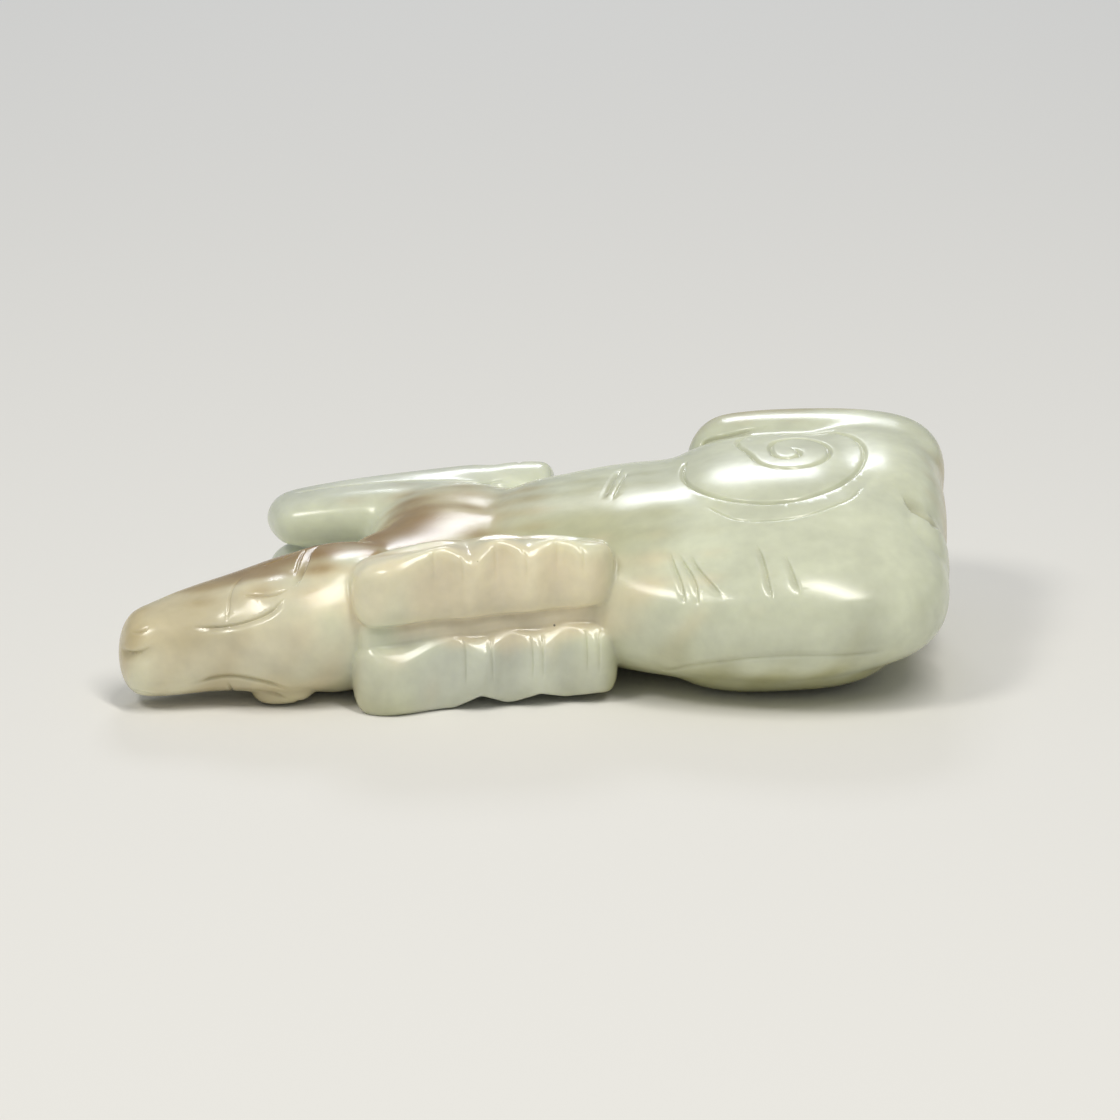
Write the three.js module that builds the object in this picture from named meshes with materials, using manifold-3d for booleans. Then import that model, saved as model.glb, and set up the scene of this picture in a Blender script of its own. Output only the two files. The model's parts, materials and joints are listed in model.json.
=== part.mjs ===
// A recumbent deer carved from one piece of pale jade, lying on its left flank.
// X runs from the nose to the rump, Y from the back to the folded legs, and Z up from the table.
// Sizes are in mm. The deer is nearly the same on both sides of a mid-plane that lies almost level.

import * as THREE from "three";
import { mergeVertices } from "three/addons/utils/BufferGeometryUtils.js";
import Module from "manifold-3d";

const wasm = await Module();
wasm.setup();

// The mid-plane between the deer's right side, which is on top, and its left side, which is below.
const MID_HEIGHT = 6.15;
const MID_RISE = 0.045;
const MID_TWIST = 0.0008;
const TWIST_FROM = { x: -25, y: 2 };
const HEAD_DROOP = 0.0025;
const DROOP_FROM_X = -10;

function midPlane(x, y) {
  const droop = Math.max(0, DROOP_FROM_X - x);
  const twist = MID_TWIST * (x - TWIST_FROM.x) * (y - TWIST_FROM.y);
  return MID_HEIGHT + MID_RISE * x + twist - HEAD_DROOP * droop * droop;
}

// The masses that the carving is made of. Each is a list of stations along its path:
// x and y of the centre, half the depth from back to belly, and half the thickness from side to side.
const TORSO = [
  [-7, 17.2, 8.2, 4.6],
  [-1, 15.8, 10.4, 5.5],
  [6, 14.6, 12.2, 6.4],
  [13, 12.4, 13.6, 6.6],
  [20, 11.8, 13.4, 6.7],
  [26.6, 14.2, 9.8, 5.2],
];
const RUMP = { x: 22.3, y: 17.4, length: 6.2, depth: 10.2, half: 6.65, out: 0.5 };
const CHEST = { x: -7.6, y: 18.2, length: 6.8, depth: 7.4, half: 4.9, out: 0 };
const TAIL = { x: 24.9, y: 8.6, length: 3.3, depth: 4.6, half: 4.4, out: 0.5 };
// How much thinner the torso's under side grows towards the rump, and where along X.
const RUMP_THINS = { share: 0.24, from: 15, to: 26 };

// The haunch on top, and the one below, which reaches further round towards the back.
const HAUNCHES = [
  { side: 1, out: 3.4, x: 15.5, y: 15.2, length: 9.3, depth: 10.2, half: 4.2, power: 2.4 },
  { side: -1, out: 3, x: 16, y: 12.4, length: 9.3, depth: 11, half: 4.35, power: 3 },
];

// The haunch spiral. Its radii are shares of the haunch's half sizes, and angles are in radians.
const SPIRAL = {
  turns: 2, start: 2.7, ring: 0.72, coil: 0.44, tightenFrom: 0.28, tightenTo: 0.55, shift: 1,
  steps: 36, grooveRadius: 0.36, sides: 6,
};

// The neck runs from behind the head to the chest, and the head from the nose to the antlers' root.
const NECK = [
  [-14.2, 7.2, 5.4, 4.6],
  [-9.6, 10.8, 6.6, 4.7],
  [-5.4, 16.4, 7.4, 5.2],
];
const HEAD = [
  [-31.7, 2.5, 2.9, 2.9],
  [-28.4, 3.1, 3.5, 3.4],
  [-24.6, 4.5, 4.5, 3.8],
  [-20.2, 5.2, 5.9, 4.5],
  [-16, 6.2, 5.6, 4.9],
  [-11.8, 7, 5.2, 4.9],
];
const EYE = { x: -19.8, y: 3, length: 2.3, depth: 1.9, half: 1.1, out: 3.9 };
const EAR = [
  [-18.6, 7, 0.9, 0.6],
  [-16.4, 8.3, 2, 0.9],
  [-13.5, 9.4, 1.1, 0.7],
];
const EAR_OUT = 4.2;

// Legs on the right side, which is on top, and on the left side, which takes the weight. A side
// gives its half thickness, how far its legs lie out, and how far they are moved along X.
const FORELEG_SIDES = [{ half: 2.15, lift: 2, moved: 0 }, { half: 2.55, lift: -2.4, moved: 0 }];
const HINDLEG_SIDES = [{ half: 3.5, lift: 3.4, moved: 0 }, { half: 3.95, lift: -3.85, moved: -1.4 }];
// A limb's stations end with a share of its side's half thickness.
const FOREARM = [
  [-21.7, 23.7, 2.4, 0.8],
  [-17, 23.3, 2.6, 0.94],
  [-12, 23, 2.7, 1],
  [-4, 21.6, 3.2, 1],
];
const FORE_CANNON = [
  [-22.2, 24.6, 2.4, 0.8],
  [-17, 25.3, 2.6, 0.94],
  [-11, 26, 2.6, 1],
  [-3.2, 27.2, 2.7, 1],
];
const FORE_HOOF = [
  [-5.2, 27, 2.3, 1],
  [-0.3, 26.6, 2.5, 1],
];
const HIND_SHANK = [
  [27, 17.6, 3.2, 1],
  [24, 24.6, 3.5, 1],
  [16.4, 26.8, 3.4, 1],
  [9.4, 26, 2.9, 1],
];

// Each antler is a scalloped bar laid back along the neck, and a web joins the two. A bar's outer
// face stands "outer" off the mid-plane at the back, falls away from its highest place by "arch"
// times the square of the distance, and slopes up towards its front edge.
const ANTLER_LEFT = -14.9;
const ANTLER_FRONT = -0.2;
const ANTLER_FRONT_X = -8;
const ANTLER_RECEDES = 0.19;
const ANTLER_DEPTH = { left: 6.4, right: 4.6 };
const ANTLER_ARCH_X = -5.4;
const ANTLER_SLOPE = 0.9;
const ANTLERS = [
  {
    side: 1, right: 3.8, half: 2.45, out: 3.35, outer: 6.1, arch: 0.0165,
    crests: [-12.2, -6.6, -2.45, 1.55],
  },
  { side: -1, right: 4.1, half: 2.8, out: 2.95, outer: 5.2, arch: 0, crests: [-12, -5.9, -1.65, 2.35] },
];
// The lobes' depth, and where between the first two crests their valley lies: the first lobe is broad.
const LOBE_DEPTH = 0.9;
const FIRST_VALLEY = 0.65;
const WEB_RECESS = 1.5;
const WEB_HALF = 1.2;
const WEB_END = 3;

// Everything below the table is cut away, which leaves the small flats that the deer rests on.
const FLOOR = 0;
const CUT_BLOCK = { width: 100, height: 20 };
const FACET_TOLERANCE = 0.05;
const MERGE_DISTANCE = 0.0001;
// The share of a carried section's rings that close each of its ends.
const CAP_SHARE = 0.22;
const JADE = { color: "#c3ccb2", roughness: 0.2, metalness: 0 };

// A closed body whose section runs along a path. The path and the half sizes are smooth through
// the stations. The section is a superellipse: power 2 is an ellipse, and more is squarer. A shape
// gives factors for the section's depth and height.
function carriedSection(stations, { power = 2.4, capStart = 0.2, capEnd = 0.2, capPower = 2, around = 22,
  along = 14, lift = 0, shape = null }) {
  const centres = new THREE.CatmullRomCurve3(
    stations.map(([x, y]) => new THREE.Vector3(x, y, 0)), false, "catmullrom", 0.5);
  const halves = new THREE.CatmullRomCurve3(
    stations.map(([, , depth, half]) => new THREE.Vector3(depth, half, 0)), false, "catmullrom", 0.5);
  const geometry = new THREE.SphereGeometry(1, around, along);
  const position = geometry.getAttribute("position");
  for (let i = 0; i < position.count; i += 1) {
    const latitude = Math.acos(THREE.MathUtils.clamp(position.getY(i), -1, 1)) / Math.PI;
    const longitude = Math.atan2(position.getZ(i), position.getX(i));
    const { reach, swell } = capsuleRing(latitude, capStart, capEnd, capPower);
    const centre = centres.getPoint(reach);
    const tangent = centres.getTangent(reach);
    const half = halves.getPoint(reach);
    const across = sharpened(Math.cos(longitude), power);
    const above = sharpened(Math.sin(longitude), power);
    const { wider = 1, higher = 1 } = shape ? shape(centre.x, across, above) : {};
    const sideways = half.x * swell * across * wider;
    const upwards = half.y * swell * above * higher;
    const x = centre.x - tangent.y * sideways;
    const y = centre.y + tangent.x * sideways;
    position.setXYZ(i, x, y, midPlane(centre.x, y) + lift + upwards);
  }
  return solid(geometry);
}

// Turns a sine or cosine into a superellipse's.
function sharpened(value, power) {
  return Math.sign(value) * Math.abs(value) ** (2 / power);
}

// Turns a ring's place between the poles into how far along the path it lies and how wide it is.
// Quarter superellipses close both ends, and the rings between them are evenly spaced.
function capsuleRing(latitude, capStart, capEnd, capPower) {
  const fromEnd = Math.min(latitude, 1 - latitude);
  if (fromEnd >= CAP_SHARE) {
    const share = (latitude - CAP_SHARE) / (1 - 2 * CAP_SHARE);
    return { reach: capStart + share * (1 - capStart - capEnd), swell: 1 };
  }
  const angle = (fromEnd / CAP_SHARE) * Math.PI / 2;
  const inwards = 1 - sharpened(Math.cos(angle), capPower);
  const reach = latitude < 0.5 ? capStart * inwards : 1 - capEnd * inwards;
  return { reach, swell: sharpened(Math.sin(angle), capPower) };
}

// A pebble: a superellipsoid whose middle lies off the mid-plane, outwards on its own side.
function pebble({ x, y, length, depth, half, out, side = 1 }, { power = 2.4, around = 22, along = 12 }) {
  const geometry = new THREE.SphereGeometry(1, around, along);
  const position = geometry.getAttribute("position");
  for (let i = 0; i < position.count; i += 1) {
    const longitude = Math.atan2(position.getZ(i), position.getX(i));
    const height = THREE.MathUtils.clamp(position.getY(i), -1, 1);
    const ring = sharpened(Math.sqrt(1 - height * height), power);
    const px = x + length * sharpened(Math.cos(longitude), power) * ring;
    const py = y - depth * sharpened(Math.sin(longitude), power) * ring;
    position.setXYZ(i, px, py, midPlane(px, py) + side * out + half * sharpened(height, power));
  }
  return solid(geometry);
}

// A geometry with its shared corners merged, as a closed solid that can be joined and cut.
function solid(geometry) {
  geometry.deleteAttribute("normal");
  geometry.deleteAttribute("uv");
  const merged = mergeVertices(geometry, MERGE_DISTANCE);
  return new wasm.Manifold(new wasm.Mesh({
    numProp: 3,
    vertProperties: merged.getAttribute("position").array,
    triVerts: new Uint32Array(merged.index.array),
  }));
}

function join(bodies) {
  return bodies.reduce((whole, body) => whole.add(body));
}

// One form on the right side and its twin on the left side.
function onBothSides(make) {
  return join([1, -1].map(make));
}

function body() {
  const thinner = (x, across, above) => {
    const share = THREE.MathUtils.smoothstep(x, RUMP_THINS.from, RUMP_THINS.to);
    return { higher: above < 0 ? 1 - RUMP_THINS.share * share : 1 };
  };
  return join([
    carriedSection(TORSO, {
      power: 2.8, capStart: 0.14, capEnd: 0.16, around: 26, along: 18, shape: thinner }),
    pebble(RUMP, { power: 2.8 }),
    pebble(CHEST, { power: 2.3 }),
    pebble(TAIL, { power: 2.2 }),
  ]);
}

function haunches() {
  return join(HAUNCHES.map((haunch) => pebble(haunch, { power: haunch.power, around: 26 })));
}

// The spiral cut into a haunch: a ring most of the way round, which then tightens into a coil that
// winds to the middle. Its points lie on the haunch's own superellipsoid surface.
function spiralGroove(haunch) {
  const points = Array.from({ length: SPIRAL.steps + 1 }, (_, step) => {
    const share = step / SPIRAL.steps;
    const angle = SPIRAL.start + haunch.side * share * SPIRAL.turns * 2 * Math.PI;
    const tightened = THREE.MathUtils.smoothstep(share, SPIRAL.tightenFrom, SPIRAL.tightenTo);
    const radius = THREE.MathUtils.lerp(SPIRAL.ring, SPIRAL.coil * (1.2 - share), tightened);
    const dx = Math.cos(angle) * radius * haunch.length + SPIRAL.shift * tightened;
    const dy = Math.sin(angle) * radius * haunch.depth;
    const { power } = haunch;
    const filled = Math.abs(dx / haunch.length) ** power + Math.abs(dy / haunch.depth) ** power;
    const height = haunch.half * (1 - filled) ** (1 / power);
    const x = haunch.x + dx;
    const y = haunch.y + dy;
    return new THREE.Vector3(x, y, midPlane(x, y) + haunch.side * (haunch.out + height));
  });
  const section = new THREE.Shape().absarc(0, 0, SPIRAL.grooveRadius, 0, 2 * Math.PI);
  return solid(new THREE.ExtrudeGeometry(section, {
    steps: SPIRAL.steps,
    curveSegments: SPIRAL.sides / 2,
    bevelEnabled: false,
    extrudePath: new THREE.CatmullRomCurve3(points),
  }));
}

function legs(stations, sides, options) {
  return join(sides.map(({ half, lift, moved }) => carriedSection(
    stations.map(([x, y, depth, share]) => [x + moved, y, depth, half * share]), { ...options, lift })));
}

function forelegs() {
  const options = { capStart: 0.12, capEnd: 0.14, around: 13, along: 11 };
  return join([FOREARM, FORE_CANNON, FORE_HOOF].map((stations) => legs(stations, FORELEG_SIDES, options)));
}

function hindlegs() {
  return legs(HIND_SHANK, HINDLEG_SIDES, { power: 2.6, capStart: 0.3, capEnd: 0.16, around: 16, along: 14 });
}

function headAndNeck() {
  const eyes = onBothSides((side) => pebble({ ...EYE, side }, { around: 14, along: 8 }));
  const ears = onBothSides((side) => carriedSection(EAR, { lift: side * EAR_OUT, around: 12, along: 10 }));
  return join([
    carriedSection(HEAD, { power: 2.5, capStart: 0.09, capEnd: 0.14, around: 22, along: 18 }),
    carriedSection(NECK, { around: 22, along: 10 }),
    eyes,
    ears,
  ]);
}

// How far out a scalloped front edge stands, from 0 in a valley to 1 on a crest.
function lobeHeight(x, { crests, right }) {
  const valleys = crests.slice(1).map((crest, k) => (
    THREE.MathUtils.lerp(crests[k], crest, k === 0 ? FIRST_VALLEY : 0.5)));
  const bounds = [ANTLER_LEFT, ...valleys, right];
  const lobe = valleys.filter((valley) => x > valley).length;
  const edge = x < crests[lobe] ? bounds[lobe] : bounds[lobe + 1];
  const share = THREE.MathUtils.clamp((x - crests[lobe]) / (edge - crests[lobe]), 0, 1);
  return (1 + Math.cos(Math.PI * share)) / 2;
}

function antlerStations(half, right, inset) {
  return [0, 1 / 3, 2 / 3, 1].map((share) => {
    const x = THREE.MathUtils.lerp(ANTLER_LEFT, right, share);
    const depth = THREE.MathUtils.lerp(ANTLER_DEPTH.left, ANTLER_DEPTH.right, share);
    const front = ANTLER_FRONT + ANTLER_RECEDES * (x - ANTLER_FRONT_X);
    return [x, front + depth / 2 + inset, depth / 2, half];
  });
}

function antlers() {
  const bars = ANTLERS.map((antler) => {
    const { side, right, half, out, outer, arch } = antler;
    const scallop = (x, across, above) => {
      const dip = LOBE_DEPTH * (1 - lobeHeight(x, antler)) / (ANTLER_DEPTH.left / 2);
      const edge = outer - arch * (x - ANTLER_ARCH_X) ** 2 + ANTLER_SLOPE * (1 - across) / 2;
      return {
        wider: across < 0 ? 1 + dip * across : 1,
        higher: side * above > 0 ? (edge - out) / half : 1,
      };
    };
    return carriedSection(antlerStations(half, right, 0), {
      power: 3.4, capStart: 0.1, capEnd: 0.06, capPower: 2.8, around: 18, along: 32, lift: side * out,
      shape: scallop });
  });
  const web = carriedSection(antlerStations(WEB_HALF, WEB_END, WEB_RECESS), {
    power: 4, capStart: 0.06, capEnd: 0.04, capPower: 2.8, along: 8, around: 16 });
  return join([...bars, web]);
}

// The deer rests on small flats where its lowest places touch the table.
function flattenedBelow(deer) {
  const block = new THREE.BoxGeometry(CUT_BLOCK.width, CUT_BLOCK.width, CUT_BLOCK.height);
  return deer.subtract(solid(block.translate(0, 0, FLOOR - CUT_BLOCK.height / 2)));
}

// The masses overlap, so any pocket left between them is sealed inside the stone. Only the outer
// skin is kept, which fills it.
function withoutPockets(deer) {
  return deer.decompose().reduce((largest, shell) => (shell.volume() > largest.volume() ? shell : largest));
}

function meshOf(deer, name) {
  const { vertProperties, triVerts } = deer.getMesh();
  const geometry = new THREE.BufferGeometry();
  geometry.setAttribute("position", new THREE.BufferAttribute(vertProperties, 3));
  geometry.setIndex(new THREE.BufferAttribute(triVerts, 1));
  geometry.computeVertexNormals();
  const mesh = new THREE.Mesh(geometry, new THREE.MeshStandardMaterial(JADE));
  mesh.name = name;
  return mesh;
}

// Puts the origin under the middle of the carving's box, on the table.
function centred(mesh) {
  const middle = new THREE.Box3().setFromObject(mesh).getCenter(new THREE.Vector3());
  mesh.position.set(-middle.x, -middle.y, -FLOOR);
  return mesh;
}

const deer = join([body(), haunches(), hindlegs(), forelegs(), headAndNeck(), antlers()]);
const carved = HAUNCHES.reduce((stone, haunch) => stone.subtract(spiralGroove(haunch)), deer);
const carving = withoutPockets(flattenedBelow(carved).simplify(FACET_TOLERANCE));
const group = new THREE.Group();
group.add(centred(meshOf(carving, "jade_deer")));

export default group;
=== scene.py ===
"""A small recumbent deer carved from one piece of pale green jade and polished, lying on its left flank.

Laid out as an add-on and run as a script. The tables give millimetres in the carver's frame: X runs
from the nose to the rump, Y from the back to the folded legs and Z up from the table. The finished
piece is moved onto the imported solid's box, in metres.
"""

import json
import math

import bpy
import numpy as np
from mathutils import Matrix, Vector
from mathutils.bvhtree import BVHTree

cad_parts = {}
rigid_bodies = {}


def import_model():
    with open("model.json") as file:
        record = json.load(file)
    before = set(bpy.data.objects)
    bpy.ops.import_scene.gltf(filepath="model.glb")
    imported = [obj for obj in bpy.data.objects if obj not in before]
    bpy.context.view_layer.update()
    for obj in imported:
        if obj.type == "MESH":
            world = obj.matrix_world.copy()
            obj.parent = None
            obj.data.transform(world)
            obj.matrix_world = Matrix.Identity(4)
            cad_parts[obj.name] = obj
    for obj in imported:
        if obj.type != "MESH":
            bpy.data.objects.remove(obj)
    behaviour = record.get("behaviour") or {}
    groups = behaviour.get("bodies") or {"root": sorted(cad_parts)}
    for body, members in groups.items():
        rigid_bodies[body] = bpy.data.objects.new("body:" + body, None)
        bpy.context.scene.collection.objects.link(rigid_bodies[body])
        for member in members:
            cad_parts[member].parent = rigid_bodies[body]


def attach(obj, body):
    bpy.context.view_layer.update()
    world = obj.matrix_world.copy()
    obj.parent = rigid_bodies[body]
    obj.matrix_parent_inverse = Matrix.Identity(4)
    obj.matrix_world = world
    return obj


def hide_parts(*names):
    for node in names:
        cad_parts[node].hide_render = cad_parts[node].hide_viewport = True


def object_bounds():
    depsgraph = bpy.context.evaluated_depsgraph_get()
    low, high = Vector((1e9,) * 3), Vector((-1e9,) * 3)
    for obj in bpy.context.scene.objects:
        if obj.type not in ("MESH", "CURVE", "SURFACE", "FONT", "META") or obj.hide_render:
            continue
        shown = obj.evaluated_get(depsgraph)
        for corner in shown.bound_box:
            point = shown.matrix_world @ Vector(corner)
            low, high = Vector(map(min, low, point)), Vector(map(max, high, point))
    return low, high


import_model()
CAD_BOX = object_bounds()

bl_info = {
    "name": "Jade deer carving",
    "version": (1, 0, 0),
    "blender": (4, 5, 0),
    "location": "View3D > Sidebar > Jade deer",
    "description": "Carves and polishes a small recumbent deer in pale jade, and sets a studio round it",
    "category": "Object",
}

MM = 0.001
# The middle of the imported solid's box, in the carver's frame.
MIDDLE = np.array([-1.540911, 14.138097, 0.0])

# The mid-plane between the deer's right side, which is on top, and its left side, which is below.
MID_HEIGHT = 6.15
MID_RISE = 0.045
MID_TWIST = 0.0008
TWIST_FROM = (-25.0, 2.0)
HEAD_DROOP = 0.0025
DROOP_FROM_X = -10.0

# Stations along each mass: x and y of the centre, half the depth and half the thickness.
TORSO = [(-7, 17.2, 8.2, 4.6), (-1, 15.8, 10.4, 5.5), (6, 14.6, 12.2, 6.4), (13, 12.4, 13.6, 6.6),
         (20, 11.8, 13.4, 6.7), (26.6, 14.2, 9.8, 5.2)]
NECK = [(-14.2, 7.2, 5.4, 4.6), (-9.6, 10.8, 6.6, 4.7), (-5.4, 16.4, 7.4, 5.2)]
HEAD = [(-31.7, 2.5, 2.9, 2.9), (-28.4, 3.1, 3.5, 3.4), (-24.6, 4.5, 4.5, 3.8), (-20.2, 5.2, 5.9, 4.5),
        (-16, 6.2, 5.6, 4.9), (-11.8, 7, 5.2, 4.9)]
EAR = [(-18.7, 4.8, 2.4, 0.6), (-17, 5.6, 3.4, 0.9), (-14.6, 6.6, 3, 0.9), (-12.4, 7.6, 1.6, 0.6)]
EAR_OUT = 4.15
# Pebbles: x, y, half length, half depth, half thickness.
RUMP = (22.3, 17.4, 6.2, 10.2, 6.65)
RUMP_LIFT = 0.5
CHEST = (-7.6, 18.2, 6.8, 7.4, 4.9)
TAIL = (24.9, 8.6, 3.3, 4.6, 4.4)
TAIL_LIFT = 0.5
# How much thinner the torso's under side grows towards the rump, and where along X.
RUMP_THINS = 0.24
RUMP_THINS_FROM = (15.0, 26.0)
# How far its upper side falls away towards the back under the haunch, where across it, and where along X.
SHOULDER_FALLS = 0.2
SHOULDER_FROM = (0.2, 0.9)
SHOULDER_FROM_X = (5.0, 11.0)
UPPER_EYE = (-21.2, 3.2, 2.2, 2.1, 1.0)
UPPER_EYE_OUT = 3.45
LOWER_EYE = (-19.8, 3, 2.3, 1.9, 1.1)
LOWER_EYE_OUT = 3.9
# side, how far out its middle lies, power, and the pebble.
HAUNCHES = [(1, 3.4, 2.4, (15.5, 15.2, 9.3, 10.2, 4.2)), (-1, 3.0, 3.0, (16, 12.4, 9.3, 11, 4.35))]
# The limbs' stations: x and y of the centre, half the depth, and the share of the side's half thickness.
FOREARM = [(-21.7, 23.7, 2.4, 0.8), (-17, 23.3, 2.6, 0.94), (-12, 23, 2.7, 1), (-4, 21.6, 3.2, 1)]
FORE_CANNON = [(-22.2, 24.6, 2.4, 0.8), (-17, 25.3, 2.6, 0.94), (-11, 26, 2.6, 1), (-3.2, 27.2, 2.7, 1)]
FORE_HOOF = [(-5.2, 27, 2.3, 1), (-0.3, 26.6, 2.5, 1)]
HIND_SHANK = [(27, 17.6, 3.2, 1), (24, 24.6, 3.5, 1), (16.4, 26.8, 3.4, 1), (9.4, 26, 2.9, 1)]
# half thickness, how far out the leg lies, and how far its stations are moved along X.
FORELEG_SIDES = [(2.15, 2.0, 0.0), (2.55, -2.4, 0.0)]
HINDLEG_SIDES = [(3.5, 3.4, 0.0), (3.95, -3.85, -1.4)]

# The antlers: two scalloped bars laid back along the neck, and the web between them.
ANTLER_LEFT = -14.9
ANTLER_RIGHT = {"upper": 3.8, "lower": 4.1}
ANTLER_FRONT = -0.2
ANTLER_FRONT_X = -8.0
ANTLER_RECEDES = 0.19
ANTLER_DEPTH = (6.4, 4.6)
ANTLER_HALF = {"upper": 2.45, "lower": 2.8}
ANTLER_OUT = {"upper": 3.35, "lower": -2.95}
# The outer face's height at the back, how it falls away from its highest place, and how much higher
# its front edge stands.
ANTLER_TOP = {"upper": 6.1, "lower": 5.2}
ANTLER_ARCH = {"upper": 0.0165, "lower": 0.0}
ANTLER_ARCH_X = -5.4
ANTLER_SLOPE = 0.9
LOBE_DEPTH = 1.0
LOBE_CRESTS = {"upper": (-12.2, -6.6, -2.45, 1.55), "lower": (-12.0, -5.9, -1.65, 2.35)}
# Where between the first two crests their valley lies: the first lobe is broad.
FIRST_VALLEY = 0.65
# Shares of an antler's length at which it has its stations.
ANTLER_SHARES = (0, 0.33, 0.67, 1)
WEB_RECESS = 1.5
WEB_HALF = 1.2
WEB_END = 3.0

# The face of an antler that looks outwards has a channel along it and a notch across each crest but the
# first. Depths are in mm, and the channel's place and widths are shares of half the bar's depth.
CHANNEL_DEPTH = 0.5
CHANNEL_FROM = (-13.8, -9.5)
CHANNEL_TO = (0.5, 2.8)
CHANNEL_PLACE = 0.2
CHANNEL_REACH = (0.85, 0.42)
NOTCH_DEPTHS = (0.0, 1.0, 0.65, 0.2)
NOTCH_REACH = 1.7
NOTCH_WIDENS = 0.5
# On the lower antler the face that looks up is scooped away towards each crest.
SCOOP_DEPTH = 0.65
SCOOP_FROM = (0.1, 0.95)
# Upright strokes down the antlers' front faces: their places along X, and how far their start, middle
# and end lie above the mid-plane.
FLUTE_PLACES = {"upper": (-9, -7, -4.65, -2.4, -0.25, 1.65), "lower": (-6.8, -4.9, -2, -1.2, 1.9, 2.8)}
FLUTE_HEIGHTS = {"upper": (7.2, 5.4, 3.6), "lower": (0.2, -1.9, -4)}

# The share of a carried section's rings that close each of its ends.
CAP_SHARE = 0.22

# The haunch spiral: how far out it lies at each quarter turn, in shares of the haunch's half sizes. It
# starts on the belly side of the haunch's front. Its middle moves as the ring tightens into a coil.
SPIRAL_START = 0.46
SPIRAL_SHARES = (0.72, 0.8, 0.72, 0.78, 0.34, 0.36, 0.31, 0.34, 0.16, 0.17, 0.07, 0.05)
SPIRAL_SHIFT = (1.4, 0.6)
SPIRAL_SHIFTS_IN = (0.75, 1.1)
SPIRAL_POINTS = 160

# Lines cut into the stone: half widths on the two sides, depth, and points on the skin.
RING_CUT = (0.3, 0.3, 0.26)
FINE_CUT = (0.16, 0.16, 0.12)
RIB_CUT = (0.15, 0.55, 0.2)
LID_CUT = (0.2, 0.2, 0.15)
BROW_CUT = (0.2, 0.55, 0.24)
FOLD_CUT = (0.25, 0.9, 0.3)
TAIL_CUT = (1.6, 0.3, 0.9)
HOOF_CUT = (0.28, 0.28, 0.26)
FLUTE_CUTS = {"upper": (0.15, 0.45, 0.07), "lower": (0.12, 0.4, 0.1)}
LEDGE_CUT = (0.6, 0.25, 0.12)
PAIRED_LINES = [
    # Second outline round the haunch.
    (FINE_CUT, [(10.5, 8, 13.3), (12.9, 5.8, 13.2), (16.9, 5.4, 13.5), (20.5, 7.5, 13.8), (21.9, 10, 14)]),
    # The crease between the haunch and the shank behind it.
    (FOLD_CUT, [(9.3, 21.4, 13.1), (10.5, 24.8, 12.7), (12.4, 24.4, 13.4), (15, 24.8, 14)]),
    # Two slanted strokes on the flank.
    (RIB_CUT, [(4.6, 18.4, 12.8), (3.9, 15.2, 12.8), (3.3, 11.7, 12.6)]),
    (FINE_CUT, [(5, 16.8, 12.9), (4.4, 14.1, 12.9), (3.8, 11.1, 12.7)]),
    # The brow, the corner of the eye, the lid, and the ear's front edge with its fold.
    (BROW_CUT, [(-26.2, 0.6, 6.4), (-24.6, 0.6, 6.4), (-22.9, 0.4, 6.7), (-20.8, 0.3, 7.5),
                (-19.5, 1.1, 8.4)]),
    (LID_CUT, [(-23.8, 0.7, 6.8), (-23.6, 1.2, 7.4), (-23.4, 3.0, 8.3), (-22.8, 4.6, 8.8)]),
    (LID_CUT, [(-22.7, 1.9, 8.2), (-21.1, 1.3, 8.4), (-20.2, 1.1, 8.8), (-19.3, 1.4, 9.4)]),
    (BROW_CUT, [(-17.0, 8.6, 10.3), (-17.8, 7.0, 10.0), (-18.1, 4.7, 9.8), (-18.9, 1.4, 9.5)]),
    (LID_CUT, [(-18.3, 7.9, 10.1), (-18.7, 5.6, 9.8), (-19, 2.8, 10)]),
    (FINE_CUT, [(-21.6, 6.1, 9.1), (-20.0, 6.8, 9.5), (-18.5, 8.0, 9.9), (-17.4, 8.3, 10.3)]),
    (LID_CUT, [(-30.6, 1.1, 5.9), (-29.9, 0.5, 6.0), (-29.2, 0.7, 6.5)]),
    # The mouth.
    (LID_CUT, [(-31.9, 3.8, 5.4), (-30, 4.3, 6.6), (-27.2, 5.1, 7.4)]),
    # The foreleg: the groove between forearm and cannon, the fetlock, and the cloven hoof.
    (LID_CUT, [(-20, 24.6, 9), (-15, 24.6, 9.7), (-9, 24.5, 10.2), (-4, 24.3, 10.5)]),
    (HOOF_CUT, [(-3.1, 27, 10.4), (-3, 28.3, 9.8), (-2.9, 29.3, 8.6), (-2.9, 29.5, 7.4)]),
    (HOOF_CUT, [(-1.2, 29.2, 8.7), (0.4, 28.9, 8.8), (1.8, 27.8, 8.8)]),
    # The hind leg's fetlock and cloven hoof.
    (HOOF_CUT, [(11.4, 27.8, 12.9), (11.4, 28.6, 12.3), (11.5, 29.4, 10.8), (11.5, 29.5, 9.4)]),
    (HOOF_CUT, [(9.6, 28.6, 10.6), (8, 27.4, 10.6), (7.3, 25.6, 10.6)]),
]
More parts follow.
